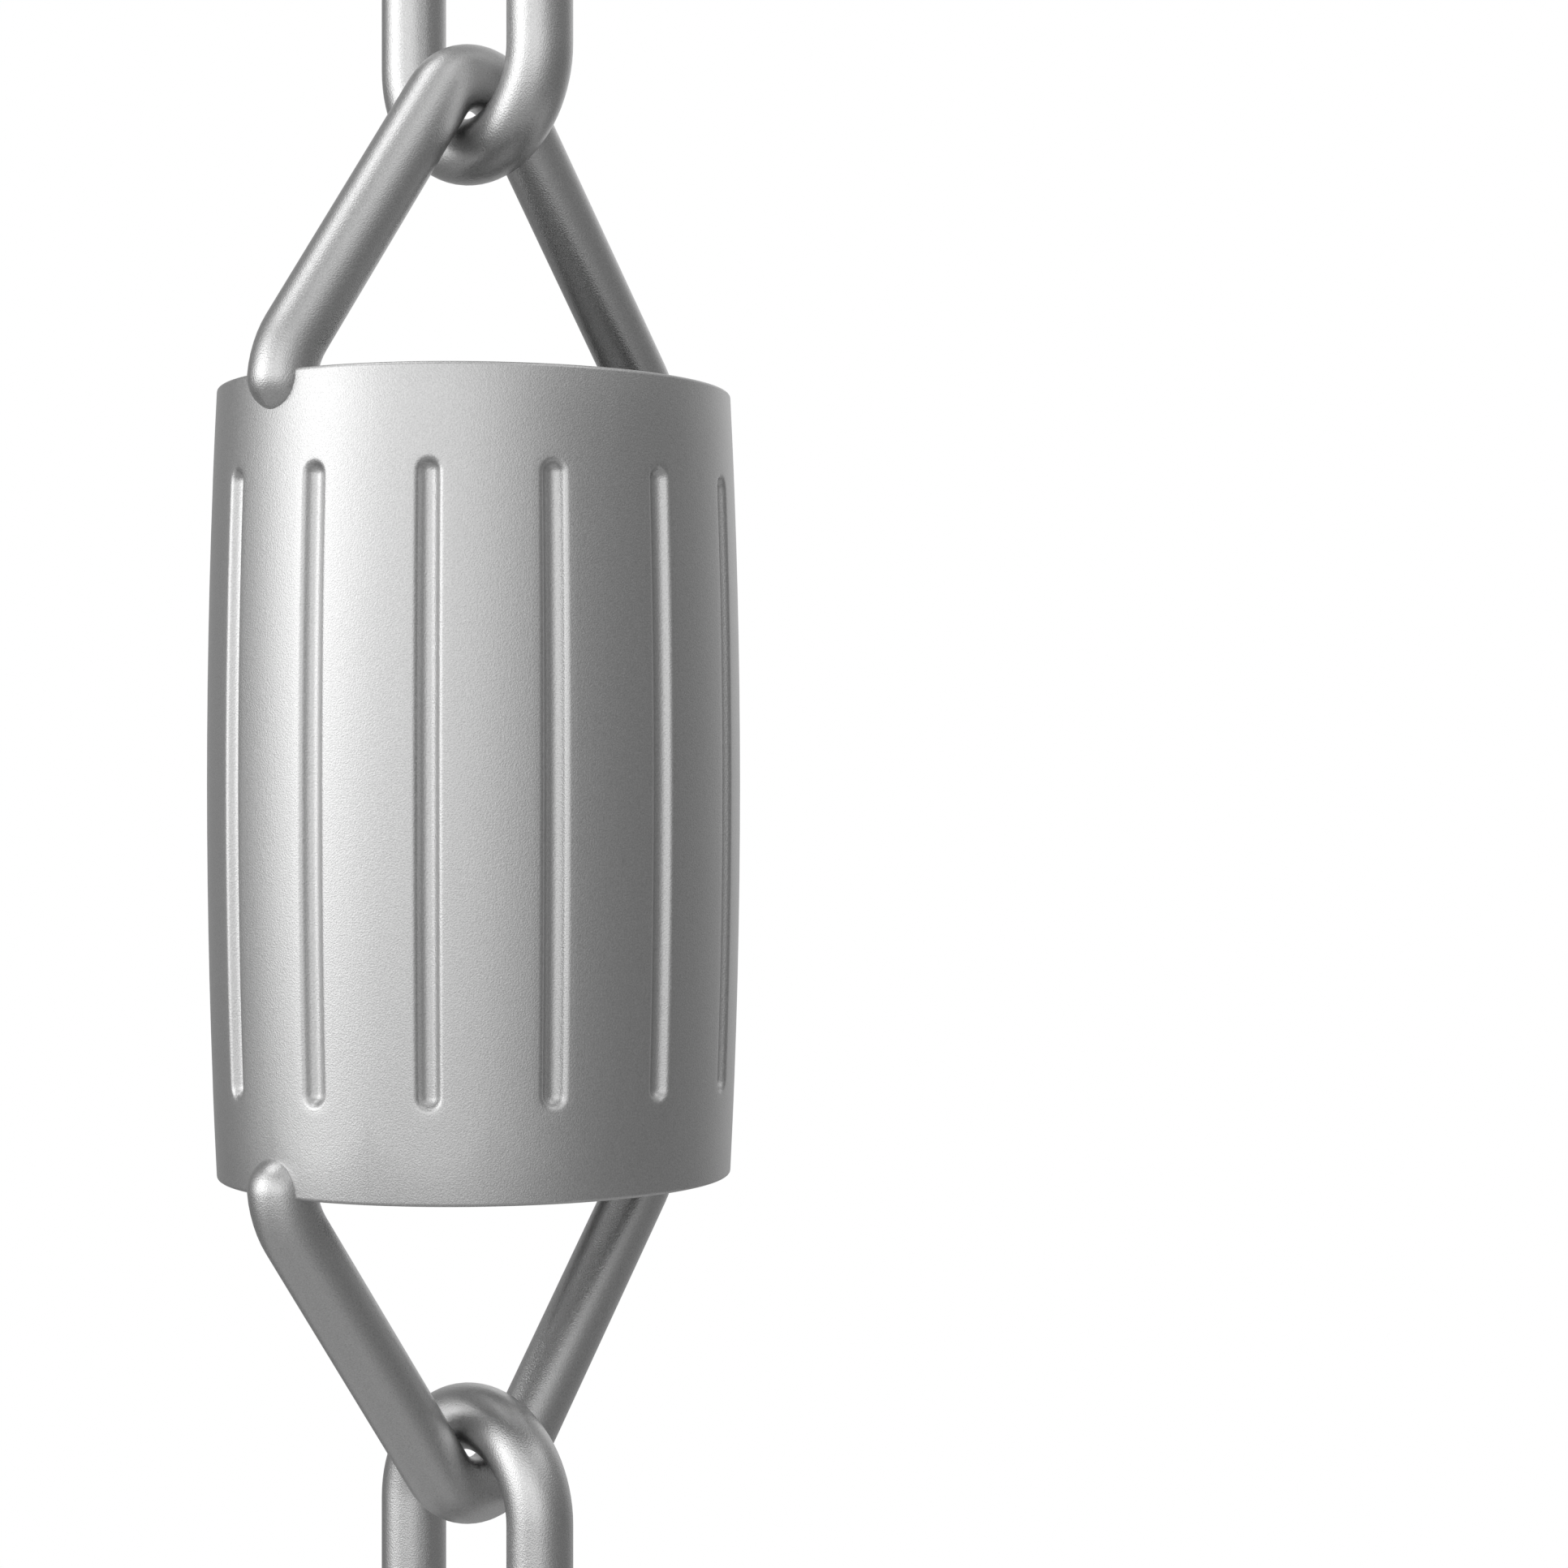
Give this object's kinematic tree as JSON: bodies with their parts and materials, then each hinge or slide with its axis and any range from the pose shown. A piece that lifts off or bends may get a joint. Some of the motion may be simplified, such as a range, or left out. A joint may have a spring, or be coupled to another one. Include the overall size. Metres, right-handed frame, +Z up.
{
  "type": "rain chain",
  "caption": "Rain chain of open fluted aluminium cups, each with a pointed round-bar bail at both ends, hung one below the other on closed oval links.",
  "frame": {"origin": "the hanging point, on the inner crest of the top link's eye, on the chain's axis", "axes": "+Z up along the hanging chain, bails in the XZ plane, links in the YZ plane"},
  "size_m": [0.076, 0.0726, 1.3187],
  "materials": {
    "cup_aluminium": "fine blasted satin",
    "bar_aluminium": "fine blasted satin"
  },
  "bodies": {
    "link_1_body": {"link_1": "bar_aluminium"},
    "cup_1_body": {"cup_1": "cup_aluminium", "upper_bail_1": "bar_aluminium", "lower_bail_1": "bar_aluminium"},
    "link_2_body": {"link_2": "bar_aluminium"},
    "cup_2_body": {"cup_2": "cup_aluminium", "upper_bail_2": "bar_aluminium", "lower_bail_2": "bar_aluminium"},
    "link_3_body": {"link_3": "bar_aluminium"},
    "cup_3_body": {"cup_3": "cup_aluminium", "upper_bail_3": "bar_aluminium", "lower_bail_3": "bar_aluminium"},
    "link_4_body": {"link_4": "bar_aluminium"},
    "cup_4_body": {"cup_4": "cup_aluminium", "upper_bail_4": "bar_aluminium", "lower_bail_4": "bar_aluminium"},
    "link_5_body": {"link_5": "bar_aluminium"},
    "cup_5_body": {"cup_5": "cup_aluminium", "upper_bail_5": "bar_aluminium", "lower_bail_5": "bar_aluminium"}
  },
  "joints": [
    {"name": "cup_1_swing", "type": "hinge", "parent": "link_1_body", "child": "cup_1_body", "pos_m": [0, 0, -0.0815], "axis": [0, 1, 0], "range_deg": [-105, 105]},
    {"name": "link_2_swing", "type": "hinge", "parent": "cup_1_body", "child": "link_2_body", "pos_m": [0, 0, -0.26546], "axis": [1, 0, 0], "range_deg": [-105, 105]},
    {"name": "cup_2_swing", "type": "hinge", "parent": "link_2_body", "child": "cup_2_body", "pos_m": [0, 0, -0.34142], "axis": [0, -1, 0], "range_deg": [-105, 105]},
    {"name": "link_3_swing", "type": "hinge", "parent": "cup_2_body", "child": "link_3_body", "pos_m": [0, 0, -0.52539], "axis": [-1, 0, 0], "range_deg": [-105, 105]},
    {"name": "cup_3_swing", "type": "hinge", "parent": "link_3_body", "child": "cup_3_body", "pos_m": [0, 0, -0.60135], "axis": [0, 1, 0], "range_deg": [-105, 105]},
    {"name": "link_4_swing", "type": "hinge", "parent": "cup_3_body", "child": "link_4_body", "pos_m": [0, 0, -0.78531], "axis": [1, 0, 0], "range_deg": [-105, 105]},
    {"name": "cup_4_swing", "type": "hinge", "parent": "link_4_body", "child": "cup_4_body", "pos_m": [0, 0, -0.86127], "axis": [0, -1, 0], "range_deg": [-105, 105]},
    {"name": "link_5_swing", "type": "hinge", "parent": "cup_4_body", "child": "link_5_body", "pos_m": [0, 0, -1.04523], "axis": [-1, 0, 0], "range_deg": [-105, 105]},
    {"name": "cup_5_swing", "type": "hinge", "parent": "link_5_body", "child": "cup_5_body", "pos_m": [0, 0, -1.12119], "axis": [0, 1, 0], "range_deg": [-105, 105]}
  ]
}
